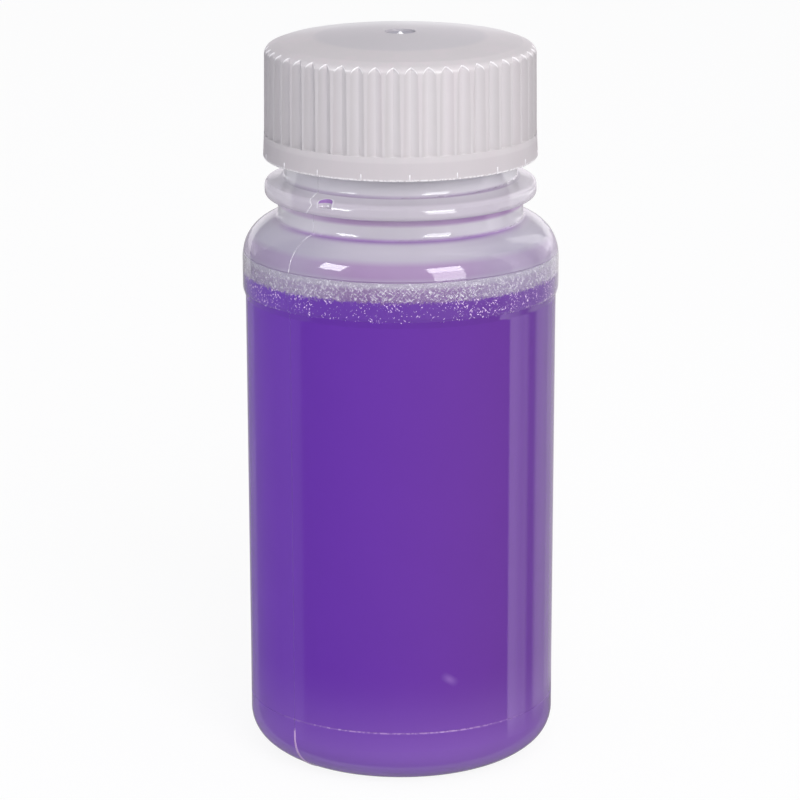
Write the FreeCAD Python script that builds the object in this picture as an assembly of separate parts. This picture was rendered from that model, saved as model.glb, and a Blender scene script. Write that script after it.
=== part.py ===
import FreeCAD, Part
import math
import os

os.makedirs("parts", exist_ok=True)

# Sizes are in millimetres. +Z is up, the bottle stands on z = 0 and its axis is the Z axis.
# The side that faces the viewer is -Y. An outline is a closed chain of corners, each one
# (radius, height, rounding), that is turned about the axis.

# Blown body
body_radius = 25.0          # plain wall, just under the band
wall_draft = 0.21           # how much narrower the wall is at its foot
wall = 1.2                  # thickness of the body and the shoulder
floor_thickness = 1.6
heel_width = 8.0            # rounded heel, measured in from the wall
heel_height = 6.5
foot_width = 2.0            # flat ring that the bottle stands on
foot_rounding = 0.8         # inner edge of that ring
push_up_height = 1.8        # rise of the middle of the base
push_up_slope_width = 4.3
push_up_rounding = 9.0
heel_line_height = 9.65     # fine mould line round the foot of the wall
mould_line_radius = 0.1

# Raised band under the shoulder
band_start_drop = 12.73     # from the top of the shoulder's curve down to the band's foot
band_rise = 1.3             # height over which the wall swells to the band
band_depth = 0.39
band_rounding = 2.0
band_start_rounding = 1.0
shoulder_line_rise = 0.85   # fine mould line, above the start of the shoulder's curve

# Shoulder and neck
shoulder_height = 89.03     # top of the shoulder's curve
shoulder_rounding = 6.2
neck_root_radius = 19.7     # wall between the shoulder and the ring
neck_root_rounding = 0.5
neck_root_length = 3.47
neck_radius = 18.65         # wall above the ring, which carries the thread
neck_wall = 2.2
neck_bore_rounding = 1.0
neck_length = 18.65         # from the top of the ring to the lip
lip_rounding = 0.4

# Ring round the neck
ring_radius = 21.79
ring_edge_height = 2.4
ring_slope = 0.85           # rise of the ring's top from its edge to the neck
ring_rounding = 0.85
ring_root_rounding = 0.45
ring_notch_radius = 1.25
ring_notch_angle = -123.0   # degrees from +X, 33 degrees left of the viewer's side
ring_notch_drop = 0.9       # from the top of the ring's edge down to the notch's floor

# Screw thread, right-handed. The cap's ridge runs just under the neck's ridge.
thread_pitch = 4.2
thread_depth = 1.0
thread_root_width = 2.0
thread_crest_width = 1.0
thread_overlap = 0.3        # how deep a ridge is rooted in its wall
neck_thread_turns = 1.6
neck_thread_drop = 3.1      # from the lip down to the middle of the ridge's upper end
thread_end_angle = 20.0     # degrees from +X of both ridges' upper ends
cap_thread_turns = 1.6
thread_crest_gap = 0.4      # between a crest and the wall that faces it
thread_flank_gap = 0.2      # between the neck's lower flank and the cap's upper flank

# Sealing insert, held loosely in the top of the cap
insert_thickness = 1.2
insert_edge_rounding = 0.3
insert_side_gap = 0.3       # to the cap's wall, and from the plug to the neck's bore
plug_depth = 2.2
plug_wall = 1.1
plug_rounding = 0.4

# Screw cap
cap_skirt_gap = 3.15        # between the ring and the cap's rim
cap_rim_radius = 21.98
cap_rim_rounding = 0.25
cap_rim_mouth_depth = 2.0   # wider mouth inside the rim
cap_rim_wall = 1.35
cap_flare_height = 4.4      # the rim tapers to the skirt over this height
cap_skirt_radius = 21.78
cap_skirt_draft = 0.13
cap_edge_rounding = 1.5     # round edge between the skirt and the top
cap_edge_slope = 0.36       # fall of the sloping edge, for each unit outwards
cap_edge_lift = 0.81        # from the seat of the insert up to the sloping edge's corner
cap_dome_radius = 118.4
cap_dome_lift = 3.22        # from the seat of the insert up to the top of the dome
cap_top_wall = 1.6
cap_ceiling_ledge = 3.25    # width of the flat ring that presses on the insert
retaining_bead_radius = 0.75
retaining_bead_gap = 0.3    # between the bead and the insert
gate_dimple_radius = 2.45
gate_dimple_depth = 0.4
gate_nub_radius = 0.38

# Grip flutes, V-shaped, round the skirt
flute_count = 48
flute_crease_radius = 20.85
flute_ridge_radius = 21.95
flute_start = 2.9           # from the rim up to the flutes' lower end at the crease
flute_end_slope = 1.0
flute_angle = -85.6         # degrees from +X of one crease

# Liquid
fill_drop = 8.83            # from the top of the shoulder's curve down to the liquid's level
liquid_gap = 0.1

# Levels that follow from the sizes above
band_top_radius = body_radius + band_depth
band_start = shoulder_height - band_start_drop
band_full_height = band_start + band_rise
fill_height = shoulder_height - fill_drop
ring_bottom = shoulder_height + neck_root_length
ring_edge_top = ring_bottom + ring_edge_height
ring_top = ring_edge_top + ring_slope
lip_height = ring_top + neck_length
neck_bore = neck_radius - neck_wall
seat_height = lip_height + insert_thickness
cap_rim_height = ring_top + cap_skirt_gap
cap_top_height = seat_height + cap_dome_lift
cap_bore = neck_radius + thread_depth + thread_crest_gap
cap_thread_crest = neck_radius + thread_crest_gap
neck_thread_crest = neck_radius + thread_depth
neck_ridge_top = lip_height - neck_thread_drop
bead_height = lip_height - retaining_bead_gap - retaining_bead_radius

# On a circle's quarter, this share of the radius lies outside a tangent at 45 degrees
corner_share = 2 - math.sqrt(2)
axis_line = FreeCAD.Vector(0, 0, 1)
origin = FreeCAD.Vector(0, 0, 0)
tiny = 1e-6


def at(radius, height):
    """The point of the XZ plane at this distance from the axis."""
    return FreeCAD.Vector(radius, 0, height)


def at_angle(radius, degrees, height):
    """The point at this distance from the axis, turned from +X."""
    turn = math.radians(degrees)
    return FreeCAD.Vector(radius * math.cos(turn), radius * math.sin(turn), height)


def rounding_reaches(points, roundings):
    """How far from each corner its rounding starts. Two roundings share a side that is short."""
    wanted = []
    for number, corner in enumerate(points):
        back = points[number - 1] - corner
        ahead = points[(number + 1) % len(points)] - corner
        wanted.append(roundings[number] / math.tan(back.getAngle(ahead) / 2))
    reaches = []
    for number, own in enumerate(wanted):
        reach = own
        for neighbour in (number - 1, (number + 1) % len(points)):
            side = (points[neighbour] - points[number]).Length
            both = own + wanted[neighbour]
            if both > side:
                reach = min(reach, side * own / both)
        reaches.append(reach)
    return reaches


def corner_cut(before, corner, after, reach):
    """Where the rounding of a corner starts, its middle point and where it ends."""
    back = before - corner
    ahead = after - corner
    back.normalize()
    ahead.normalize()
    half = back.getAngle(ahead) / 2
    radius = reach * math.tan(half)
    inwards = back + ahead
    inwards.normalize()
    middle = corner + inwards * (radius / math.sin(half) - radius)
    return corner + back * reach, middle, corner + ahead * reach


def turned(corners):
    """The solid that a closed chain of rounded corners makes when it turns about the axis."""
    points = [at(radius, height) for radius, height, rounding in corners]
    reaches = rounding_reaches(points, [rounding for radius, height, rounding in corners])
    edges = []
    first = None
    last = None
    for number, corner in enumerate(points):
        before = points[number - 1]
        after = points[(number + 1) % len(points)]
        cut = corner_cut(before, corner, after, reaches[number]) if reaches[number] > tiny else None
        start = cut[0] if cut else corner
        if last is None:
            first = start
        elif (start - last).Length > tiny:
            edges.append(Part.makeLine(last, start))
        last = start
        if cut:
            edges.append(Part.Arc(*cut).toShape())
            last = cut[2]
    if (first - last).Length > tiny:
        edges.append(Part.makeLine(last, first))
    face = Part.Face(Part.Wire(edges))
    return face.revolve(origin, axis_line, 360)


def heel_corners(wall_radius, floor_height, width, height):
    """Two corners that stand for an elliptical heel, from the floor up to the wall."""
    low = (wall_radius - corner_share * width, floor_height)
    high = (wall_radius, floor_height + corner_share * height)
    half_facet = math.hypot(high[0] - low[0], high[1] - low[1]) / 2
    turn = math.atan2(height, width)
    low_reach = min(half_facet, (1 - corner_share) * width)
    high_reach = min(half_facet, (1 - corner_share) * height)
    low_rounding = low_reach / math.tan(turn / 2)
    high_rounding = high_reach / math.tan((math.pi / 2 - turn) / 2)
    return [low + (low_rounding,), high + (high_rounding,)]


def base_corners(inset, lift):
    """The base, heel and wall up to the band, moved in from the outside of the bottle."""
    wall_radius = body_radius - wall_draft - inset
    foot_outer = body_radius - wall_draft - heel_width
    foot_inner = foot_outer - foot_width
    return [
        (0, push_up_height + lift, 0),
        (foot_inner - push_up_slope_width, push_up_height + lift, push_up_rounding),
        (foot_inner, lift, foot_rounding),
        *heel_corners(wall_radius, lift, heel_width - inset, heel_height - lift),
        (body_radius - inset, band_start, band_start_rounding),
        (band_top_radius - inset, band_full_height, band_rounding),
    ]


def shoulder_corners():
    """Two corners that stand for the shoulder's curve, and the one where it runs into the neck."""
    centre_radius = band_top_radius - shoulder_rounding
    centre_height = shoulder_height - shoulder_rounding
    end_radius = max(neck_root_radius + neck_root_rounding, centre_radius)
    turn = math.acos((end_radius - centre_radius) / shoulder_rounding)
    distance = shoulder_rounding / math.cos(turn / 4)
    corners = []
    for angle in (turn / 4, 3 * turn / 4):
        radius = centre_radius + distance * math.cos(angle)
        height = centre_height + distance * math.sin(angle)
        corners.append((radius, height, shoulder_rounding))
    end_height = centre_height + shoulder_rounding * math.sin(turn)
    neck_foot = end_height + (end_radius - neck_root_radius) / math.tan(turn)
    corners.append((neck_root_radius, neck_foot, neck_root_rounding))
    return corners


def screw_ridge(root_radius, crest_radius, top_height, turns):
    """A helical ridge with a flat crest, which runs down from its upper end."""
    rise = thread_pitch * turns
    inwards = crest_radius < root_radius
    sunk_radius = root_radius + thread_overlap if inwards else root_radius - thread_overlap
    slope = (thread_root_width - thread_crest_width) / 2 / abs(crest_radius - root_radius)
    half_root = thread_root_width / 2 + thread_overlap * slope
    half_crest = thread_crest_width / 2
    section = Part.makePolygon([
        at(sunk_radius, -half_root),
        at(crest_radius, -half_crest),
        at(crest_radius, half_crest),
        at(sunk_radius, half_root),
        at(sunk_radius, -half_root),
    ])
    path = Part.makeHelix(thread_pitch, rise, root_radius)
    sweep = Part.BRepOffsetAPI.MakePipeShell(path)
    sweep.setFrenetMode(True)
    sweep.add(section)
    sweep.build()
    sweep.makeSolid()
    ridge = sweep.shape()
    ridge.rotate(origin, axis_line, thread_end_angle - 360 * turns)
    ridge.translate(FreeCAD.Vector(0, 0, top_height - rise))
    return ridge


def mould_line(radius, height):
    """A fine round groove about the axis."""
    return Part.makeTorus(radius, mould_line_radius, at(0, height))


def make_bottle():
    """Body, shoulder, ring and threaded neck, blown as one piece."""
    cavity_top = shoulder_height - wall
    root_bore = neck_root_radius - neck_wall
    outside = [
        *base_corners(0, 0),
        *shoulder_corners(),
        (neck_root_radius, ring_bottom, ring_root_rounding),
        (ring_radius, ring_bottom, ring_rounding),
        (ring_radius, ring_edge_top, ring_rounding),
        (neck_radius, ring_top, ring_root_rounding),
        (neck_radius, lip_height, lip_rounding),
    ]
    inside = [
        *base_corners(wall, floor_thickness),
        (band_top_radius - wall, cavity_top, shoulder_rounding - wall),
        (root_bore, cavity_top, neck_bore_rounding),
        (root_bore, ring_bottom, neck_bore_rounding),
        (neck_bore, ring_top, neck_bore_rounding),
        (neck_bore, lip_height, lip_rounding),
    ]
    bottle = turned(outside + inside[::-1])
    thread = screw_ridge(neck_radius, neck_thread_crest, neck_ridge_top, neck_thread_turns)
    bottle = bottle.fuse(thread)
    curve_start = shoulder_height - shoulder_rounding
    line_reach = math.sqrt(shoulder_rounding ** 2 - shoulder_line_rise ** 2)
    line_radius = band_top_radius - shoulder_rounding + line_reach
    bottle = bottle.cut(mould_line(line_radius, curve_start + shoulder_line_rise))
    foot_of_wall = corner_share * heel_height
    climb = (heel_line_height - foot_of_wall) / (band_start - foot_of_wall)
    bottle = bottle.cut(mould_line(body_radius - wall_draft * (1 - climb), heel_line_height))
    notch_place = at_angle(ring_radius, ring_notch_angle, ring_edge_top - ring_notch_drop)
    notch_height = ring_notch_drop + ring_slope + ring_notch_radius
    return bottle.cut(Part.makeCylinder(ring_notch_radius, notch_height, notch_place))


def make_liquid():
    """What the bottle holds, up to its level and a hair's breadth inside the wall."""
    inset = wall + liquid_gap
    return turned([
        *base_corners(inset, floor_thickness + liquid_gap),
        (band_top_radius - inset, fill_height, 0),
        (0, fill_height, 0),
    ])


def make_seal_insert():
    """A flat disc that seals on the lip, with a short tubular plug that enters the bore."""
    disc_radius = cap_bore - insert_side_gap
    plug_radius = neck_bore - insert_side_gap
    plug_bore = plug_radius - plug_wall
    return turned([
        (0, lip_height, 0),
        (plug_bore, lip_height, plug_rounding),
        (plug_bore, lip_height - plug_depth, plug_rounding / 2),
        (plug_radius, lip_height - plug_depth, plug_rounding),
        (plug_radius, lip_height, 0),
        (disc_radius, lip_height, insert_edge_rounding),
        (disc_radius, seat_height, insert_edge_rounding),
        (0, seat_height, 0),
    ])


def flute_cutter():
    """The ring of material outside a star with one point for each ridge between two flutes."""
    step = 360 / flute_count
    star = []
    for number in range(flute_count):
        crease = flute_angle + number * step
        star.append(at_angle(flute_crease_radius, crease, 0))
        star.append(at_angle(flute_ridge_radius, crease + step / 2, 0))
    star.append(star[0])
    outer_radius = flute_ridge_radius + thread_depth
    low = cap_rim_height + flute_start
    span = outer_radius - flute_crease_radius
    height = cap_top_height - low
    ring = Part.makeCylinder(outer_radius, height, at(0, low))
    prism = Part.Face(Part.makePolygon(star)).extrude(FreeCAD.Vector(0, 0, cap_top_height))
    slanted = turned([
        (flute_crease_radius - span, low - span * flute_end_slope, 0),
        (outer_radius + span, low + 2 * span * flute_end_slope, 0),
        (outer_radius + span, cap_top_height, 0),
        (flute_crease_radius - span, cap_top_height, 0),
    ])
    return ring.cut(prism).common(slanted)


def make_cap():
    """The screw cap: fluted skirt, domed top, inner thread and the bead that holds the insert."""
    skirt_top_radius = cap_skirt_radius - cap_skirt_draft
    edge_corner = seat_height + cap_edge_lift
    peak = edge_corner + cap_edge_slope * skirt_top_radius
    mouth_radius = cap_rim_radius - cap_rim_wall
    mouth_step = mouth_radius - cap_bore
    dome_centre = at(0, cap_top_height - cap_dome_radius)
    cap = turned([
        (0, seat_height, 0),
        (cap_bore, seat_height, 0),
        (cap_bore, cap_rim_height + cap_rim_mouth_depth + mouth_step, 0),
        (mouth_radius, cap_rim_height + cap_rim_mouth_depth, 0),
        (mouth_radius, cap_rim_height, cap_rim_rounding),
        (cap_rim_radius, cap_rim_height, cap_rim_rounding),
        (cap_skirt_radius, cap_rim_height + cap_flare_height, 0),
        (skirt_top_radius, edge_corner, cap_edge_rounding),
        (0, peak, 0),
    ])
    cap = cap.common(Part.makeSphere(cap_dome_radius, dome_centre))
    ceiling = Part.makeCylinder(cap_bore - cap_ceiling_ledge, cap_dome_lift, at(0, seat_height))
    cap = cap.cut(ceiling.common(Part.makeSphere(cap_dome_radius - cap_top_wall, dome_centre)))
    cap = cap.cut(flute_cutter())
    dimple_floor = cap_top_height - gate_dimple_depth
    dimple = Part.makeCylinder(gate_dimple_radius, 2 * gate_dimple_depth, at(0, dimple_floor))
    cap = cap.cut(dimple).fuse(Part.makeSphere(gate_nub_radius, at(0, dimple_floor)))
    cap = cap.fuse(Part.makeTorus(cap_bore, retaining_bead_radius, at(0, bead_height)))
    engagement = (neck_thread_crest - cap_thread_crest) / thread_depth
    flank_run = (thread_root_width - thread_crest_width) / 2 * engagement
    ridge_top = neck_ridge_top - thread_crest_width - flank_run - thread_flank_gap
    return cap.fuse(screw_ridge(cap_bore, cap_thread_crest, ridge_top, cap_thread_turns))


sub_parts = {
    "bottle": make_bottle,
    "liquid": make_liquid,
    "seal_insert": make_seal_insert,
    "cap": make_cap,
}
for name, make in sub_parts.items():
    shape = make()
    shape.exportStep(f"parts/{name}.step")
    print(name, shape.ShapeType, len(shape.Solids), shape.isValid(), round(shape.Volume, 1))
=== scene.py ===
import math
import bpy
import bmesh
import numpy as np
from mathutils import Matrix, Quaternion, Vector


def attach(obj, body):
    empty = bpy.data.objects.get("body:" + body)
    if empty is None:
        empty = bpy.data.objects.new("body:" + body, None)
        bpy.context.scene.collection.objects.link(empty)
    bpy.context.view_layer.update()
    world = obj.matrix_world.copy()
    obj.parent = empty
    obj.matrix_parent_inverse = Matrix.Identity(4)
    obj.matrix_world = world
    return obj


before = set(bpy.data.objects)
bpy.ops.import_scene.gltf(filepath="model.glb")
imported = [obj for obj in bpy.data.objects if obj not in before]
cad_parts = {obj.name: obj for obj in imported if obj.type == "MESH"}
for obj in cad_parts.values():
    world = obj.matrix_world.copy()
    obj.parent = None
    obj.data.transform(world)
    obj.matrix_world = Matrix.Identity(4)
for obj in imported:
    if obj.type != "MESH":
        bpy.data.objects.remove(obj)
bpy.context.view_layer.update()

MM = 0.001

# Heights of the bottle's and the cap's forms, in millimetres
HEEL_LINE = 9.65
BAND_START = 76.3
BAND_FULL = 77.6
LEVEL = 80.2
SHOULDER_LINE = 83.68
NECK_FOOT = 89.03
RING_BOTTOM = 92.5
RING_TOP = 95.75
CAP_RIM = 98.9
FLUTE_FOOT = 102.0
CAP_TOP = 118.82

# Radii, in millimetres, and the middle (radius, height) of the cap's rounded upper edge
BODY_RADIUS = 25.0
BAND_SKIN_RADIUS = 25.4
RING_RADIUS = 21.79
EDGE_CENTRE = (20.15, 115.356)
EDGE_ROUNDING = 1.5

# Middle of the notch in the ring, seen from above
NOTCH_SIDE = math.radians(-123)
NOTCH = (RING_RADIUS * math.cos(NOTCH_SIDE), RING_RADIUS * math.sin(NOTCH_SIDE), 0.0)

# Middle of the painted reflection low on the front: (x, height)
PAINTED_REFLECTION = (7.7, 18.4)

# Mould halves meet on these two sides, in degrees from +X
PARTING_SIDES = (-134.0, 46.0)

# Points round the band's stipple and up it, and the seed of its relief
STIPPLE_ROUND = 1400
STIPPLE_UP = 38
STIPPLE_SEED = 11

# Points round the liquid's raised edge, and its section: (radius, height)
EDGE_ROUND = 120
EDGE_SECTION = (
    (22.4, 80.12), (24.17, 80.12), (24.17, 81.2), (24.05, 80.85), (23.8, 80.55),
    (23.3, 80.33), (22.4, 80.21))

# Ticks round the cap's rim: how many, and where the first stands, in degrees from +X
TICKS = 18
FIRST_TICK = -86.3

# Outside of the bottle from the middle of its base to its lip: (radius, height, rounding)
OUTLINE = [
    (0.0, 1.8, 0.0), (10.49, 1.8, 9.0), (14.79, 0.0, 0.8), (20.104, 0.0, 8.503),
    (24.79, 3.808, 5.656), (BODY_RADIUS, BAND_START, 1.0), (25.39, BAND_FULL, 2.0),
    (25.39, 85.106, 6.2), (22.445, 88.576, 6.2), (19.7, NECK_FOOT, 0.5), (19.7, RING_BOTTOM, 0.45),
    (RING_RADIUS, RING_BOTTOM, 0.85), (RING_RADIUS, 94.9, 0.85), (18.65, RING_TOP, 0.45),
    (18.65, 114.4, 0.0),
]

# How strongly light bends in the plastic, in the fine edges of the stipple and in the liquid
PLASTIC_INDEX = 1.49
STIPPLE_INDEX = 1.2
LIQUID_INDEX = 1.33

WHITE = (1.0, 1.0, 1.0, 1.0)
PURPLE = (150, 84, 186)

# The dry wall's tints by height, with painted reflections of the liquid in purple bands and where
# it shows through the shoulder, and painted light on the neck under the cap
DRY_TINTS = (
    (LEVEL, (134, 90, 164)), (82.4, (154, 122, 174)), (83.0, (192, 183, 202)),
    (83.55, (192, 182, 202)), (SHOULDER_LINE, (142, 102, 162)), (83.85, (188, 170, 202)),
    (84.4, (180, 148, 194)), (86.0, (184, 154, 198)), (86.9, (208, 202, 216)),
    (88.3, (220, 215, 226)), (89.3, (226, 222, 230)), (91.1, (226, 222, 230)),
    (91.6, (190, 150, 204)), (92.3, (180, 138, 196)), (92.6, (209, 201, 212)),
    (95.0, (211, 204, 214)), (96.2, (246, 243, 249)), (99.0, (250, 248, 253)))

# How plainly the seam's painted highlight shows at the foot of the wall, and its changes: (from,
# to, rise)
SEAM_START = 0.5
SEAM_STEPS = (
    (76, 77, -0.4), (83.5, 83.9, 0.9), (86.4, 87.2, -0.8), (88, 88.5, 0.6),
    (89.1, 89.6, -0.6), (92.4, 92.8, 0.9), (95.6, 96, -0.9))

# The room's brightness in gloss on the viewer's side, and its changes to the right and the left
# of it, in degrees: (from, to, rise)
ROOM_START = 0.12
ROOM_STEPS = (
    (87.5, 89.5, 1.35), (92, 104, -0.6), (106.5, 113, -0.63), (116.5, 124, 0.6),
    (127, 146, -0.25), (-77, -82, 0.3), (-84, -110, -0.2), (-120, -150, 0.06),
    (-155, -170, 0.12))
ROOM_SHEEN = (1.0, 0.95, 1.0, 1.0)
ROOM_NEAR_FOOT = 0.3

# The photograph's camera: focal length in pixels, picture width in pixels, degrees above the
# horizon, degrees of roll, distance and aim in millimetres
PHOTO_FOCAL = 3933.25
PHOTO_WIDTH = 800
PHOTO_RISE = 14.9215
PHOTO_ROLL = -0.0957
PHOTO_DISTANCE = 639.65
PHOTO_AIM = (-0.147, 0.0, 58.243)
SENSOR_WIDTH = 36.0

# Where the lamps face, in metres
LAMP_AIM = (0.0, 0.0, 0.08)


def linear(red, green, blue):
    """The linear colour that shows as these eight-bit values."""
    parts = [v / 255 for v in (red, green, blue)]
    lit = [p / 12.92 if p <= 0.04045 else ((p + 0.055) / 1.055) ** 2.4 for p in parts]
    return (*lit, 1.0)


class Nodes:
    """A node tree under construction. An input takes a number, a colour or a node's output."""

    def __init__(self, tree):
        self.tree = tree
        tree.nodes.clear()

    def node(self, kind, inputs=None, **settings):
        made = self.tree.nodes.new(kind)
        for key, value in settings.items():
            setattr(made, key, value)
        for key, value in (inputs or {}).items():
            self.plug(made.inputs[key], value)
        return made

    def first(self, kind, inputs=None, **settings):
        """The first output of a new node."""
        return self.node(kind, inputs, **settings).outputs[0]

    def plug(self, socket, value):
        if isinstance(value, bpy.types.NodeSocket):
            self.tree.links.new(value, socket)
        else:
            socket.default_value = value

    def vector(self, operation, first, second=None, **inputs):
        made = self.node("ShaderNodeVectorMath", operation=operation)
        self.plug(made.inputs[0], first)
        if second is not None:
            self.plug(made.inputs[1], second)
        for key, value in inputs.items():
            self.plug(made.inputs[key], value)
        return made.outputs["Value" if operation == "LENGTH" else "Vector"]

    def split(self, vector):
        """The vector's three parts."""
        return self.node("ShaderNodeSeparateXYZ", {"Vector": vector}).outputs

    def math(self, operation, *values, clamp=False):
        made = self.node("ShaderNodeMath", operation=operation, use_clamp=clamp)
        for number, value in enumerate(values):
            self.plug(made.inputs[number], value)
        return made.outputs[0]

    def times(self, product, *factors):
        """All the values multiplied, from the left."""
        for factor in factors:
            product = self.math("MULTIPLY", product, factor)
        return product

    def ramp(self, value, low, high, start=0.0, end=1.0):
        """start below low, end above high, and a smooth step between."""
        return self.first("ShaderNodeMapRange", {
            "Value": value, "From Min": low, "From Max": high, "To Min": start, "To Max": end},
            interpolation_type="SMOOTHSTEP")

    def fall(self, value, low, high):
        """One below low, zero above high, and a smooth step between."""
        return self.ramp(value, low, high, 1.0, 0.0)

    def straight(self, value, low, high):
        """Zero below low, one above high, and a straight line between."""
        return self.first("ShaderNodeMapRange", {
            "Value": value, "From Min": low, "From Max": high})

    def bell(self, value, middle, reach):
        """One at the middle, and zero from reach away."""
        off = self.math("ABSOLUTE", self.math("SUBTRACT", value, middle))
        return self.fall(off, 0.0, reach)

    def steps(self, value, total, steps):
        """The total, changed by each rise while the value goes from its low to its high."""
        for low, high, rise in steps:
            total = self.math("ADD", total, self.ramp(value, low, high, 0.0, rise))
        return total

    def stops(self, value, tints):
        """Colours that follow each other as the value climbs: (place, eight-bit colour)."""
        low, high = tints[0][0], tints[-1][0]
        made = self.node("ShaderNodeValToRGB", {"Fac": self.straight(value, low, high)})
        while len(made.color_ramp.elements) < len(tints):
            made.color_ramp.elements.new(1.0)
        for stop, (place, tint) in zip(made.color_ramp.elements, tints):
            stop.position = (place - low) / (high - low)
            stop.color = linear(*tint)
        return made.outputs["Color"]

    def blend(self, share, first, second):
        """The colour first where share is zero and second where it is one."""
        made = self.node("ShaderNodeMix", data_type="RGBA")
        self.plug(made.inputs[0], share)
        self.plug(made.inputs[6], first)
        self.plug(made.inputs[7], second)
        return made.outputs[2]

    def over(self, colour, tint, *shares):
        """The colour under an eight-bit tint that is as strong as the shares multiplied."""
        return self.blend(self.times(*shares), colour, linear(*tint))

    def mixed(self, share, first, second):
        """The shader first where share is zero and second where it is one."""
        return self.first("ShaderNodeMixShader", {0: share, 1: first, 2: second})


class Recipe(Nodes):
    """A new material, with the place on the piece in millimetres."""

    def __init__(self, name):
        self.material = bpy.data.materials.new(name)
        self.material.use_nodes = True
        super().__init__(self.material.node_tree)
        place = self.node("ShaderNodeTexCoord").outputs["Object"]
        self.mm = self.vector("SCALE", place, Scale=1 / MM)
        self.x, self.y, self.z = self.split(self.mm)
        self.flat = self.first("ShaderNodeCombineXYZ", {"X": self.x, "Y": self.y})
        self.radius = self.vector("LENGTH", self.flat)

    def noise(self, scale, detail, where=None):
        return self.first("ShaderNodeTexNoise", {
            "Vector": where or self.mm, "Scale": scale, "Detail": detail})

    def bump(self, height, distance, strength, below=None):
        inputs = {"Height": height, "Distance": distance, "Strength": strength}
        if below is not None:
            inputs["Normal"] = below
        return self.first("ShaderNodeBump", inputs)

    def plastic(self, colour, roughness, inputs=None):
        return self.first("ShaderNodeBsdfPrincipled", {
            "Base Color": colour, "Roughness": roughness, **(inputs or {})})

    def finish(self, shader):
        self.node("ShaderNodeOutputMaterial", {"Surface": shader})
        return self.material


def wall_shader(m, hide, body, rough, skin, thin=(0.98, 0.975, 0.985, 1.0), index=PLASTIC_INDEX):
    """A see-through wall with gloss on the faces that point outwards and nothing on their backs."""
    wall = m.mixed(hide, m.first("ShaderNodeBsdfTransparent", {"Color": thin}), body)
    gloss = m.first("ShaderNodeBsdfGlossy", {"Color": WHITE, "Roughness": rough, "Normal": skin})
    mirror = m.first("ShaderNodeFresnel", {"IOR": index, "Normal": skin})
    back = m.node("ShaderNodeNewGeometry").outputs["Backfacing"]
    nothing = m.first("ShaderNodeBsdfTransparent", {"Color": WHITE})
    return m.mixed(back, m.mixed(mirror, wall, gloss), nothing)


def dry_wall_colour(m, cloud):
    """Grey and milky above the liquid, with painted reflections of the liquid's purple in the feet
    of the neck walls, and painted light and shade.
    """
    colour = m.stops(m.z, DRY_TINTS)
    # Painted reflections of the liquid's purple in the feet of the neck walls, stronger to the
    # front and back
    foot = m.times(m.fall(m.radius, 19.8, 21.9), m.bell(m.z, NECK_FOOT - 0.1, 0.7), 0.85)
    over_ring = m.times(m.fall(m.radius, 18.9, 19.5), m.bell(m.z, RING_TOP - 0.05, 0.5), 0.45)
    facing = m.ramp(m.math("ABSOLUTE", m.y), 6.0, 13.0, 0.3, 1.0)
    colour = m.over(colour, PURPLE, m.math("ADD", foot, over_ring, clamp=True), facing)
    colour = m.over(colour, (222, 218, 228), cloud, 0.2)

    # Painted shade towards the shoulder's sides and in the middle of the neck, and painted light on
    # the neck's left
    side = m.ramp(m.math("ABSOLUTE", m.x), 6.0, 17.0)
    colour = m.over(colour, (188, 184, 202), side, m.ramp(m.z, 88.5, 89.1, 0.5, 0.0))
    neck = m.ramp(m.z, 88.8, 89.4)
    colour = m.over(colour, (198, 194, 200), m.bell(m.x, 0.0, 14.0), neck, 0.35)
    ring = m.times(m.ramp(m.z, 92.2, 92.6), m.fall(m.z, 95.3, 95.8))
    colour = m.over(colour, (252, 250, 254), m.ramp(m.x, -18.0, -7.0, 0.5, 0.0), neck,
                    m.math("SUBTRACT", 1.0, ring))

    # The notch in the ring: a painted reflection of the liquid's purple inside, and painted
    # highlights on its rim
    away = m.vector("LENGTH", m.vector("SUBTRACT", m.flat, NOTCH))
    colour = m.over(colour, PURPLE, m.fall(away, 1.27, 1.33), m.ramp(m.z, 94.55, 94.7), 0.9)
    return m.over(colour, (245, 244, 248), m.bell(away, 1.42, 0.22), m.ramp(m.z, 93.8, 94.0), 0.7)


def wet_wall_colour(m, fine):
    """The liquid's purple through the wall, with painted light: brighter on the left, and paler
    towards the heel.
    """
    # Painted light: brighter and bluer on the left, and paler towards the heel where light from the
    # floor falls
    leftwards = m.fall(m.x, -BODY_RADIUS, BODY_RADIUS)
    colour = m.blend(leftwards, linear(113, 63, 162), linear(111, 57, 181))
    colour = m.over(colour, (142, 86, 216), m.ramp(m.x, -BODY_RADIUS, -14.0, 0.55, 0.0))
    colour = m.over(colour, (156, 116, 202), m.fall(m.z, 0.0, 20.0), 0.62)

    # Painted glints along the line round the heel, plain at the front and the back
    colour = m.over(colour, (205, 168, 222), m.bell(m.z, HEEL_LINE, 0.22),
                    m.ramp(fine, 0.42, 0.6, 0.25, 0.9),
                    m.ramp(m.math("ABSOLUTE", m.y), 14.0, 22.5, 0.1, 1.0))

    # A small slanting painted reflection low on the front
    right_of, above = m.math("SUBTRACT", m.x, PAINTED_REFLECTION[0]), m.math("SUBTRACT", m.z, PAINTED_REFLECTION[1])
    along = m.math("SUBTRACT", m.times(right_of, 0.8), m.times(above, 0.6))
    across = m.math("ADD", m.times(right_of, 0.6), m.times(above, 0.8))
    return m.over(colour, (168, 128, 206), m.bell(along, 0.0, 1.8), m.bell(across, 0.0, 0.95),
                  m.ramp(m.y, -6.0, 0.0, 0.5, 0.0))


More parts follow.
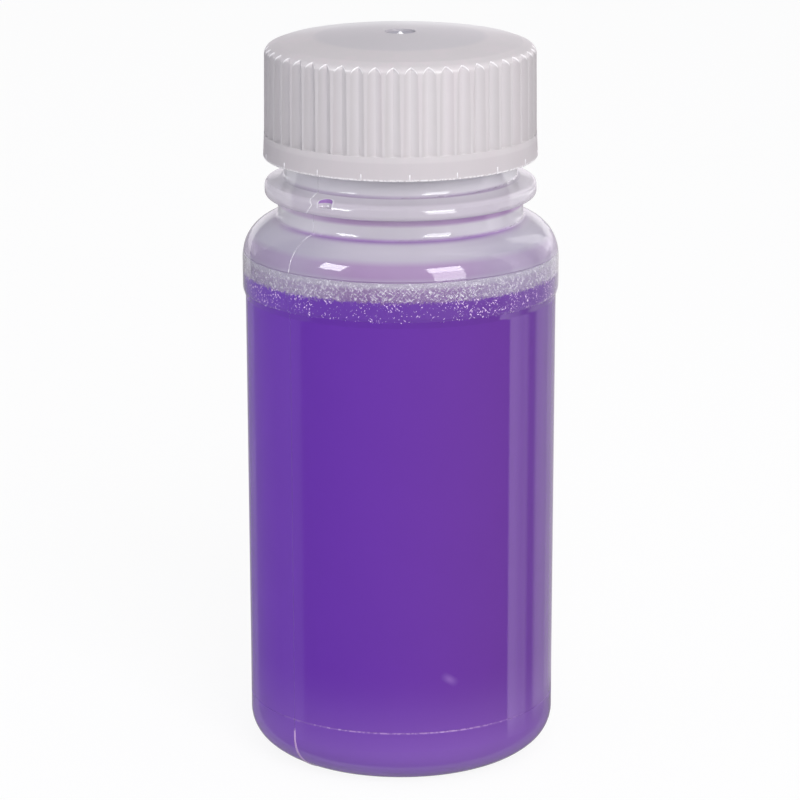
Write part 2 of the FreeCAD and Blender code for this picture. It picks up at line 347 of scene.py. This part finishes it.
def eased_skin(m, skin):
    """The skin, bent so that gloss runs softly through both neck walls' feet and over the ring."""
    bend = 0.0
    for level, reach in ((RING_TOP - 0.15, 1.2), (NECK_FOOT + 0.1, 1.4)):
        left_over = m.math("SUBTRACT", 1.0, m.straight(m.z, level, level + reach))
        bend = m.math("MULTIPLY_ADD", m.times(left_over, left_over), 0.4 * reach, bend)
    climb = m.straight(m.z, RING_BOTTOM + 0.8, RING_BOTTOM + 2.2)
    bend = m.math("MULTIPLY_ADD", m.times(climb, climb), -0.56, bend)
    return m.bump(bend, MM, 1.0, skin)


def bottle_plastic():
    """Milky plastic: deep purple where the liquid wets it, grey and half clear where it is dry."""
    m = Recipe("milky_bottle_plastic")
    cloud = m.noise(0.09, 3.0)
    fine = m.noise(1.6, 4.0)
    ragged = m.math("MULTIPLY_ADD", m.noise(2.4, 4.0), 2.2, -1.1)
    wet = m.fall(m.math("SUBTRACT", m.z, ragged), LEVEL - 0.1, LEVEL + 0.6)
    colour = m.blend(wet, dry_wall_colour(m, cloud), wet_wall_colour(m, fine))

    # How much of what lies behind the wall stays hidden: more up the neck, and nearly all where wet
    hide = m.math("MULTIPLY_ADD", cloud, 0.06, 0.76)
    hide = m.math("MULTIPLY_ADD", m.ramp(m.z, NECK_FOOT - 1.0, NECK_FOOT + 1.5), 0.06, hide)
    hide = m.math("MULTIPLY_ADD", wet, 0.17, hide, clamp=True)

    skin = m.bump(fine, 0.00002, 0.2)
    solid = m.plastic(colour, 0.6, {"Specular IOR Level": 0.0, "Normal": skin})
    body = m.mixed(0.2, solid, m.first("ShaderNodeBsdfTranslucent", {"Color": colour}))

    # The band's plain wall is duller, since the stipple lies over it
    band = m.times(m.ramp(m.z, BAND_START + 0.6, BAND_FULL),
                   m.fall(m.z, SHOULDER_LINE - 0.12, SHOULDER_LINE))
    rough = m.math("MULTIPLY_ADD", fine, 0.04, 0.035)
    rough = m.math("MULTIPLY_ADD", band, 0.3, rough)
    return m.finish(wall_shader(m, hide, body, rough, eased_skin(m, skin)))


def stipple_plastic():
    """The fine pebbled skin of the band: clear between slanting pale flecks, with painted glints.
    """
    m = Recipe("stippled_band_plastic")
    run = m.times(m.math("ARCTAN2", m.y, m.x), BAND_SKIN_RADIUS)
    uphill, downhill = m.math("ADD", run, m.z), m.math("SUBTRACT", run, m.z)

    def flecks(fine, seed):
        """Short streaks that slant both ways, each about this many to the millimetre."""
        streaks = []
        for along, across, depth in ((uphill, downhill, seed), (downhill, uphill, seed + 5.0)):
            where = m.first("ShaderNodeCombineXYZ", {
                "X": m.times(along, fine * 0.45), "Y": m.times(across, fine), "Z": depth})
            streaks.append(m.noise(1.0, 2.0, where))
        return m.math("MAXIMUM", *streaks)

    crest = m.node("ShaderNodeAttribute", attribute_name="crest").outputs["Fac"]
    dry = m.ramp(m.z, LEVEL, LEVEL + 0.7)
    raised = m.ramp(crest, 0.2, 0.8, 0.55, 1.0)
    pale = m.times(m.ramp(flecks(2.2, 0.0), 0.54, 0.64), m.times(raised, dry), 0.56)
    patches = m.ramp(m.noise(0.35, 1.0), 0.42, 0.6, 0.66, 0.6)
    # Painted glints scattered over the band, which show most where it is wet
    spark = m.ramp(m.math("SUBTRACT", flecks(2.9, 11.0), patches), 0.03, 0.05)
    hide = m.math("MAXIMUM", pale, m.times(spark, 0.95))
    colour = m.blend(dry, linear(244, 218, 250), linear(222, 220, 228))
    solid = m.plastic(colour, 0.4, {"Specular IOR Level": 0.0})
    smooth = m.node("ShaderNodeNewGeometry").outputs["Normal"]
    return m.finish(wall_shader(m, hide, solid, 0.35, smooth, WHITE, STIPPLE_INDEX))


def seam_plastic():
    """The thin raised line where the mould halves met, painted paler than the wall as a highlight,
    with a painted glint where it is pinched at the heel.
    """
    m = Recipe("mould_seam_plastic")
    fine = m.noise(0.8, 3.0)
    wet = m.fall(m.z, LEVEL - 0.5, LEVEL + 0.5)
    # Painted highlight: near white where dry, and a painted glint where the seam is pinched at the
    # heel
    pinched = m.fall(m.z, 7.6, 8.6)
    deep = m.blend(pinched, linear(118, 74, 178), linear(222, 188, 228))
    colour = m.blend(wet, linear(254, 252, 255), deep)
    hide = m.math("MULTIPLY_ADD", m.ramp(fine, 0.35, 0.65), 0.4, 0.22)
    hide = m.times(hide, m.steps(m.z, SEAM_START, SEAM_STEPS))
    hide = m.math("MAXIMUM", hide, m.times(pinched, 0.55))
    skin = m.bump(fine, 0.00003, 0.3)
    solid = m.plastic(colour, 0.35, {"Specular IOR Level": 0.0, "Normal": skin})
    return m.finish(wall_shader(m, hide, solid, 0.12, skin))


def cap_colour(m, fine, upright):
    """Milky grey, with painted shade over the insert and in the gate's dimple, and painted light
    and highlights on the top's far side, the flutes and the rim.
    """
    flow = m.noise(1.0, 2.0, m.vector("MULTIPLY", m.mm, (0.5, 0.5, 0.03)))
    colour = m.blend(m.noise(0.12, 3.0), linear(197, 192, 194), linear(202, 197, 199))
    colour = m.over(colour, (210, 197, 203), m.ramp(flow, 0.45, 0.7), 0.25)

    # The top: painted shade where the insert lies behind it, painted light on its far side, and
    # painted shade in the gate's dimple with a painted highlight in its middle
    insert = m.times(m.fall(m.radius, 12.9, 14.4), m.ramp(m.z, CAP_TOP - 3.2, CAP_TOP - 2.4))
    colour = m.over(colour, (182, 180, 186), insert, 0.5)
    behind = m.times(m.ramp(m.y, 2.0, 17.0), m.ramp(m.z, CAP_TOP - 3.0, CAP_TOP - 1.6))
    colour = m.over(colour, (238, 238, 239), behind, 0.9)
    dimple = m.times(m.fall(m.radius, 2.35, 2.5), m.ramp(m.z, CAP_TOP - 1.0, CAP_TOP - 0.6))
    colour = m.over(colour, (150, 149, 162), dimple, 0.75)
    colour = m.over(colour, (250, 250, 252), m.fall(m.radius, 0.5, 0.6), dimple)

    # The skirt: creases painted paler against their shade, a darker rim, painted light on the ledge
    # under the flutes and a painted highlight on the lip
    crease = m.times(m.fall(m.radius, 20.85, 21.65), m.ramp(m.z, 101.0, 101.4),
                     m.fall(m.z, 116.0, 116.6))
    colour = m.over(colour, (221, 216, 219), crease, 0.55)
    colour = m.over(colour, (188, 181, 185), m.ramp(m.z, 101.6, FLUTE_FOOT, 0.5, 0.0))
    ledge = m.times(m.bell(m.z, FLUTE_FOOT + 0.15, 0.9), m.fall(m.radius, 21.65, 21.78))
    colour = m.over(colour, (250, 248, 250), ledge, 0.9)
    lip = m.times(m.bell(m.z, CAP_RIM + 0.1, 0.4), m.ramp(fine, 0.3, 0.6))
    colour = m.over(colour, (248, 246, 248), lip, 0.8)

    # Painted highlights in arches where the flutes run out into the rounded edge
    inward = m.math("SUBTRACT", m.radius, EDGE_CENTRE[0])
    drop = m.math("SQRT", m.math("SUBTRACT", EDGE_ROUNDING ** 2, m.times(inward, inward)))
    arch = m.times(m.bell(m.z, m.math("ADD", drop, EDGE_CENTRE[1] - 0.05), 0.3),
                   m.fall(upright, 0.1, 0.3), m.fall(m.radius, 21.5, 21.65))
    return m.over(colour, (250, 248, 250), arch, 0.85)


def cap_plastic():
    """Milky moulded plastic that light soaks into, with painted shade where the insert lies behind
    the top.
    """
    m = Recipe("milky_cap_plastic")
    fine = m.noise(2.2, 3.0)
    true = m.node("ShaderNodeNewGeometry").outputs["Normal"]
    upright = m.split(true)[2]

    # Light that soaks in evens out the facets, so the plain shade follows the round skirt
    outwards = m.first("ShaderNodeVectorTransform", {"Vector": m.flat},
                       vector_type="NORMAL", convert_from="OBJECT", convert_to="WORLD")
    share = m.times(m.ramp(m.z, CAP_TOP - 3.4, CAP_TOP - 2.6, 6.0, 0.0),
                    m.fall(m.math("ABSOLUTE", upright), 0.15, 0.45))
    outwards = m.vector("SCALE", m.vector("NORMALIZE", outwards), Scale=share)
    even = m.vector("NORMALIZE", m.vector("ADD", true, outwards))
    return m.finish(m.plastic(
        cap_colour(m, fine, upright), m.math("MULTIPLY_ADD", fine, 0.1, 0.36), {
            "IOR": PLASTIC_INDEX, "Normal": m.bump(fine, 0.00002, 0.3, even),
            "Coat Weight": 0.25, "Coat Roughness": 0.2}))


def tick_plastic():
    """The cap's plastic on its thin raised ticks, a little paler: painted light on them."""
    m = Recipe("pale_tick_plastic")
    cloud = m.noise(0.8, 2.0)
    colour = m.blend(cloud, linear(228, 224, 229), linear(240, 237, 241))
    return m.finish(m.plastic(colour, m.math("MULTIPLY_ADD", cloud, 0.1, 0.3)))


def insert_plastic():
    """The seal's soft plastic, white and a little uneven."""
    m = Recipe("soft_white_insert_plastic")
    cloud = m.noise(0.15, 2.0)
    colour = m.blend(cloud, linear(196, 195, 200), linear(210, 209, 213))
    skin = m.bump(m.noise(1.5, 2.0), 0.00003, 0.3)
    return m.finish(m.plastic(
        colour, m.math("MULTIPLY_ADD", cloud, 0.1, 0.45), {"Normal": skin}))


def purple_liquid():
    """The liquid itself, with painted light that makes it a little paler on its open surface."""
    m = Recipe("purple_liquid")
    cloud = m.noise(0.06, 2.0)
    colour = m.blend(cloud, linear(94, 36, 156), linear(102, 44, 162))
    # Painted light: paler on the open surface
    colour = m.over(colour, (120, 58, 160), m.ramp(m.z, LEVEL - 0.2, LEVEL), 0.6)
    skin = m.bump(m.noise(0.2, 1.0), 0.00001, 0.1)
    return m.finish(m.plastic(colour, m.math("MULTIPLY_ADD", cloud, 0.1, 0.12), {
        "IOR": LIQUID_INDEX, "Normal": skin}))


def rounded(corners, step=math.radians(6)):
    """The points of an outline whose corners are rounded off: (radius, height, rounding)."""
    spots = [Vector(corner[:2]) for corner in corners]
    halves = [0.0, *((spots[n - 1] - spots[n]).angle(spots[n + 1] - spots[n]) / 2
                     for n in range(1, len(spots) - 1)), 0.0]
    wanted = [c[2] / math.tan(half) if half else 0.0 for c, half in zip(corners, halves)]
    path = [spots[0]]
    for number in range(1, len(spots) - 1):
        corner, half, reach = spots[number], halves[number], wanted[number]
        for other in (number - 1, number + 1):
            share = wanted[number] / (wanted[number] + wanted[other])
            reach = min(reach, share * (spots[other] - corner).length)
        back, ahead = spots[number - 1] - corner, spots[number + 1] - corner
        back.normalize()
        ahead.normalize()
        centre = corner + (back + ahead).normalized() * (reach / math.cos(half))
        start, end = corner + back * reach - centre, corner + ahead * reach - centre
        bend = math.pi - 2 * half
        count = max(2, math.ceil(bend / step))
        for part in range(count + 1):
            turn = bend * part / count
            reached = start * math.sin(bend - turn) + end * math.sin(turn)
            path.append(centre + reached / math.sin(bend))
    path.append(spots[-1])
    return path


def refined(path, step):
    """The same path with no stretch longer than the step."""
    fine = [path[0]]
    for start, end in zip(path, path[1:]):
        count = max(1, math.ceil((end - start).length / step))
        fine += [start.lerp(end, part / count) for part in range(1, count + 1)]
    return fine


def around(radius, degrees, height):
    """The point at this radius, azimuth from +X and height, given in millimetres."""
    turn = math.radians(degrees)
    return Vector((radius * math.cos(turn), radius * math.sin(turn), height)) * MM


def grid_piece(name, rows, body, material, closed=False):
    """A smooth sheet through rows of points. closed joins the first row to the last."""
    mesh = bpy.data.meshes.new(name)
    across = len(rows[0])
    points = [tuple(p) for row in rows for p in row]
    faces = []
    for r in range(len(rows) if closed else len(rows) - 1):
        first, second = r * across, (r + 1) % len(rows) * across
        faces += [(first + c, second + c, second + c + 1, first + c + 1) for c in range(across - 1)]
    mesh.from_pydata(points, [], faces)
    mesh.update()
    mesh.shade_smooth()
    piece = bpy.data.objects.new(name, mesh)
    bpy.context.scene.collection.objects.link(piece)
    mesh.materials.append(material)
    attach(piece, body)
    return piece


def drift(height, middle=94.2, reach=1.8, most=4.5):
    """How many degrees the parting line strays on its way over the ring."""
    return most * max(0.0, 1.0 - abs(height - middle) / reach)


def seam_height(spot, plain=0.045, faint=0.012):
    """The parting line's height over the wall, next to nothing on the two neck walls."""
    on_neck = NECK_FOOT + 0.27 < spot.y < RING_BOTTOM - 0.2 or spot.y > RING_TOP + 0.1
    return faint if on_neck else plain


def bead_rows(path, azimuth, width_at, height_at, sink=0.03, facets=6):
    """Rows of points of a low rounded ridge along a path on the outside of the bottle.

    Its width and height depend on the spot and on the share of the path that lies behind.
    """
    rows = []
    for number, spot in enumerate(path):
        before, after = path[max(number - 1, 0)], path[min(number + 1, len(path) - 1)]
        run = (after - before).normalized()
        out = Vector((run.y, -run.x))
        share = number / (len(path) - 1)
        row = []
        for part in range(facets + 1):
            turn = math.pi * part / facets
            side = width_at(spot, share) / 2 * math.cos(turn)
            lift = (height_at(spot, share) + sink) * math.sin(turn) - sink
            place = spot + out * lift
            across = math.degrees(side / max(place.x, 2.0))
            row.append(around(place.x, azimuth + drift(spot.y) + across, place.y))
        rows.append(row)
    return rows


def parting_lines(material):
    """The mould's parting line up both sides, and the pinched seam that crosses the base."""
    outside = refined(rounded(OUTLINE), 1.2)
    # The heel, the wall from there to just under the cap, and the base inside its foot
    low = [p for p in outside if p.y < 10.5 and p.x > 15.5]
    high = [p for p in outside if p.x > 18 and 9.0 < p.y < CAP_RIM + 2.0]
    inside = [p for p in outside if p.x < 14.2 and p.y > 0.2]
    # Each ridge's name, path, width and height
    ridges = (
        ("parting_line", high, lambda p, s: 0.2, lambda p, s: seam_height(p)),
        ("pinched_heel_seam", low, lambda p, s: 1.1 - 0.8 * s, lambda p, s: min(0.1, p.y * 0.3)),
        ("pinched_base_seam", inside, lambda p, s: 1.2, lambda p, s: 0.15))
    for number, azimuth in enumerate(PARTING_SIDES, 1):
        for name, path, width_at, height_at in ridges:
            rows = bead_rows(path, azimuth, width_at, height_at)
            grid_piece(f"{name}_{number}", rows, "bottle", material)


def periodic_noise(rng, count, levels, reach_u, reach_v):
    """Smooth random relief that joins up with itself round the axis, from about -1 to 1."""
    raw = rng.standard_normal((count, levels * 2))
    wave_u = np.fft.fftfreq(count)[:, None]
    wave_v = np.fft.fftfreq(levels * 2)[None, :]
    keep = np.exp(-((wave_u * reach_u) ** 2 + (wave_v * reach_v) ** 2) * math.pi ** 2)
    smooth = np.real(np.fft.ifft2(np.fft.fft2(raw) * keep))[:, :levels]
    return smooth / (smooth.std() * 2)


def stippled_band(material, least=0.012, rise=0.05):
    """The pebbled relief of the band, a hair's breadth over the plain wall."""
    count, levels = STIPPLE_ROUND, STIPPLE_UP
    random = np.random.default_rng(STIPPLE_SEED)
    relief = np.tanh(1.2 * periodic_noise(random, count, levels, 2.2, 2.2))
    path = [p for p in refined(rounded(OUTLINE), 0.1)
            if BAND_START + 0.9 < p.y < SHOULDER_LINE - 0.1]
    rows = []
    for u in range(count):
        row = []
        for v in range(levels):
            spot = path[round(v * (len(path) - 1) / (levels - 1))]
            # The relief fades out towards both edges of the band
            fade = min(1.0, 6.0 * min(v, levels - 1 - v) / levels)
            lift = least + rise * fade * (0.5 + 0.5 * relief[u, v])
            row.append(around(spot.x + lift, 360.0 * u / count, spot.y))
        rows.append(row)
    piece = grid_piece("band_stipple", rows, "bottle", material, closed=True)
    crest = piece.data.attributes.new("crest", "FLOAT", "POINT")
    crest.data.foreach_set("value", (0.5 + 0.5 * relief).astype(np.float32).ravel())


def meniscus(material):
    """The liquid's edge, drawn up where it meets the wall."""
    step = 360.0 / EDGE_ROUND
    rows = [[around(r, step * k, z) for r, z in EDGE_SECTION] for k in range(EDGE_ROUND)]
    grid_piece("liquid_edge", rows, "bottle", material, closed=True)


def rim_ticks(material, sink=0.05, rise=0.03):
    """Short raised ticks round the cap's rim, which lean with its draft."""
    mesh = bpy.data.meshes.new("cap_rim_ticks")
    shape = bmesh.new()
    low, high, half = CAP_RIM + 0.25, CAP_RIM + 1.15, 0.12
    for number in range(TICKS):
        azimuth = FIRST_TICK + 360.0 / TICKS * number
        ends = []
        for height, radius in ((low, 21.97), ((low + high) / 2, 21.965), (high, 21.94)):
            turn = math.degrees(half / radius)
            ends.append([
                shape.verts.new(around(radius - sink, azimuth - turn, height)),
                shape.verts.new(around(radius + rise, azimuth - turn / 2, height)),
                shape.verts.new(around(radius + rise, azimuth + turn / 2, height)),
                shape.verts.new(around(radius - sink, azimuth + turn, height))])
        for lower, upper in zip(ends, ends[1:]):
            for c in range(3):
                shape.faces.new((lower[c], lower[c + 1], upper[c + 1], upper[c]))
        shape.faces.new(ends[0][::-1])
        shape.faces.new(ends[-1])
    shape.to_mesh(mesh)
    shape.free()
    mesh.shade_smooth()
    mesh.materials.append(material)
    piece = bpy.data.objects.new("cap_rim_ticks", mesh)
    bpy.context.scene.collection.objects.link(piece)
    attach(piece, "cap")


def coat(piece, material):
    """The piece takes this material and nothing else."""
    piece.data.materials.clear()
    piece.data.materials.append(material)


materials = {
    "bottle": bottle_plastic(),
    "cap": cap_plastic(),
    "seal_insert": insert_plastic(),
    "liquid": purple_liquid(),
}
for name, material in materials.items():
    coat(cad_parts[name], material)
parting_lines(seam_plastic())
stippled_band(stipple_plastic())
meniscus(materials["liquid"])
rim_ticks(tick_plastic())


# Floor, world and lamps

def reflected_room(m, azimuth):
    """How bright the room looks in gloss at this azimuth, in degrees right of the viewer's side."""
    return m.steps(azimuth, ROOM_START, ROOM_STEPS)


def mirrored_azimuth(m, turns=3):
    """The way in which a mirrored ray left the bottle's wall before it met the floor here."""
    here = m.math("ARCTAN2", m.x, m.times(m.y, -1.0))
    way = here
    for _ in range(turns):
        aside = m.times(m.math("SINE", m.times(way, 0.5)), BODY_RADIUS)
        aside = m.math("DIVIDE", aside, m.radius)
        aside = m.math("MINIMUM", m.math("MAXIMUM", aside, -1.0), 1.0)
        way = m.math("ADD", here, m.math("ARCSINE", aside))
    return m.math("DEGREES", way)


def make_floor():
    """White paper to the camera, plain paper to other light, and the room to mirrored rays."""
    mesh = bpy.data.meshes.new("floor")
    shape = bmesh.new()
    bmesh.ops.create_grid(shape, x_segments=8, y_segments=8, size=3.0)
    shape.to_mesh(mesh)
    shape.free()
    floor = bpy.data.objects.new("floor", mesh)
    bpy.context.scene.collection.objects.link(floor)
    floor.location = (0, 0, -0.0001)
    m = Recipe("pale_floor")
    colour = m.blend(m.noise(0.02, 3.0), (0.80, 0.80, 0.81, 1.0), (0.83, 0.83, 0.84, 1.0))
    paper = m.first("ShaderNodeBsdfDiffuse", {"Color": colour, "Roughness": 0.5})
    white = m.first("ShaderNodeEmission", {"Color": WHITE, "Strength": 1.0})
    path = m.node("ShaderNodeLightPath").outputs
    base = m.mixed(m.times(path["Is Camera Ray"], 0.9), paper, white)
    room = m.math("SUBTRACT", reflected_room(m, mirrored_azimuth(m)), ROOM_NEAR_FOOT)
    strength = m.math("MULTIPLY_ADD", room, m.ramp(m.radius, 36.0, 50.0), ROOM_NEAR_FOOT)
    shine = m.first("ShaderNodeEmission", {"Color": ROOM_SHEEN, "Strength": strength})
    coat(floor, m.finish(m.mixed(path["Is Glossy Ray"], base, shine)))


def make_world():
    """White to the camera, the room to mirrored rays, and soft light to all others."""
    world = bpy.data.worlds.new("studio")
    bpy.context.scene.world = world
    world.use_nodes = True
    m = Nodes(world.node_tree)
    x, y, z = m.split(m.node("ShaderNodeTexCoord").outputs["Generated"])
    azimuth = m.math("DEGREES", m.math("ARCTAN2", x, m.times(y, -1.0)))
    path = m.node("ShaderNodeLightPath").outputs
    tint = m.blend(m.ramp(x, -0.9, 0.9), (0.56, 0.58, 0.64, 1.0), (0.78, 0.765, 0.765, 1.0))
    soft = m.first("ShaderNodeBackground", {"Color": tint, "Strength": 1.0})
    # Low down behind the bottle the room is brighter
    behind = m.times(m.ramp(m.math("ABSOLUTE", azimuth), 115.0, 150.0), m.fall(z, 0.08, 0.25))
    strength = m.math("MULTIPLY_ADD", behind, 0.65, reflected_room(m, azimuth))
    shine = m.first("ShaderNodeBackground", {"Color": ROOM_SHEEN, "Strength": strength})
    white = m.first("ShaderNodeBackground", {"Color": WHITE, "Strength": 1.0})
    lit = m.mixed(path["Is Glossy Ray"], soft, shine)
    seen = m.math("MAXIMUM", path["Is Camera Ray"], path["Is Transmission Ray"])
    m.node("ShaderNodeOutputWorld", {"Surface": m.mixed(seen, lit, white)})


def make_lamp(name, azimuth, elevation, distance, size, power, colour=(1, 1, 1), gloss=True):
    """An area lamp that faces the bottle from this azimuth, right of the viewer's side.

    With gloss it shows only in gloss, and otherwise only as plain light.
    """
    lamp = bpy.data.lights.new(name, "AREA")
    lamp.shape = "RECTANGLE"
    lamp.size, lamp.size_y = size
    lamp.energy = power
    lamp.color = colour
    holder = bpy.data.objects.new(name, lamp)
    bpy.context.scene.collection.objects.link(holder)
    turn, rise = math.radians(azimuth), math.radians(elevation)
    reach = math.cos(rise)
    away = Vector((math.sin(turn) * reach, -math.cos(turn) * reach, math.sin(rise)))
    holder.location = Vector(LAMP_AIM) + away * distance
    holder.rotation_mode = "QUATERNION"
    holder.rotation_quaternion = away.to_track_quat("Z", "Y")
    holder.visible_camera = False
    holder.visible_diffuse = not gloss
    holder.visible_glossy = gloss


def make_camera():
    """The photograph's camera, from the object's known levels and widths."""
    view = bpy.data.cameras.new("camera")
    view.sensor_width = SENSOR_WIDTH
    view.lens = SENSOR_WIDTH * PHOTO_FOCAL / PHOTO_WIDTH
    view.clip_start = 0.05
    view.clip_end = 20.0
    camera = bpy.data.objects.new("camera", view)
    bpy.context.scene.collection.objects.link(camera)
    rise, roll = math.radians(PHOTO_RISE), math.radians(PHOTO_ROLL)
    back = Vector((0, -math.cos(rise), math.sin(rise)))
    camera.location = Vector(PHOTO_AIM) * MM + back * PHOTO_DISTANCE * MM
    camera.rotation_mode = "QUATERNION"
    camera.rotation_quaternion = back.to_track_quat("Z", "Y") @ Quaternion((0, 0, 1), roll)
    bpy.context.scene.camera = camera


make_floor()
make_world()
make_camera()
make_lamp("window_left", -56, 34, 1.2, (0.36, 0.32), 4.8, (0.98, 0.99, 1.0))
make_lamp("window_right_upper", 36, 35, 1.2, (0.5, 0.27), 5.4)
make_lamp("window_right_lower", 36, 19, 1.2, (0.5, 0.39), 4.4)
make_lamp("rim_light", 141, 22, 1.2, (0.3, 0.85), 0.8)
make_lamp("key_light", 14, 32, 1.4, (0.9, 0.9), 13.0, (1.0, 0.99, 0.99), gloss=False)
make_lamp("fill_left", -100, 15, 1.2, (0.5, 0.9), 1.3, gloss=False)
make_lamp("fill_right", 100, 15, 1.2, (0.5, 0.9), 0.3, gloss=False)

scene = bpy.context.scene
scene.view_settings.view_transform = "Standard"
scene.cycles.transparent_max_bounces = 24
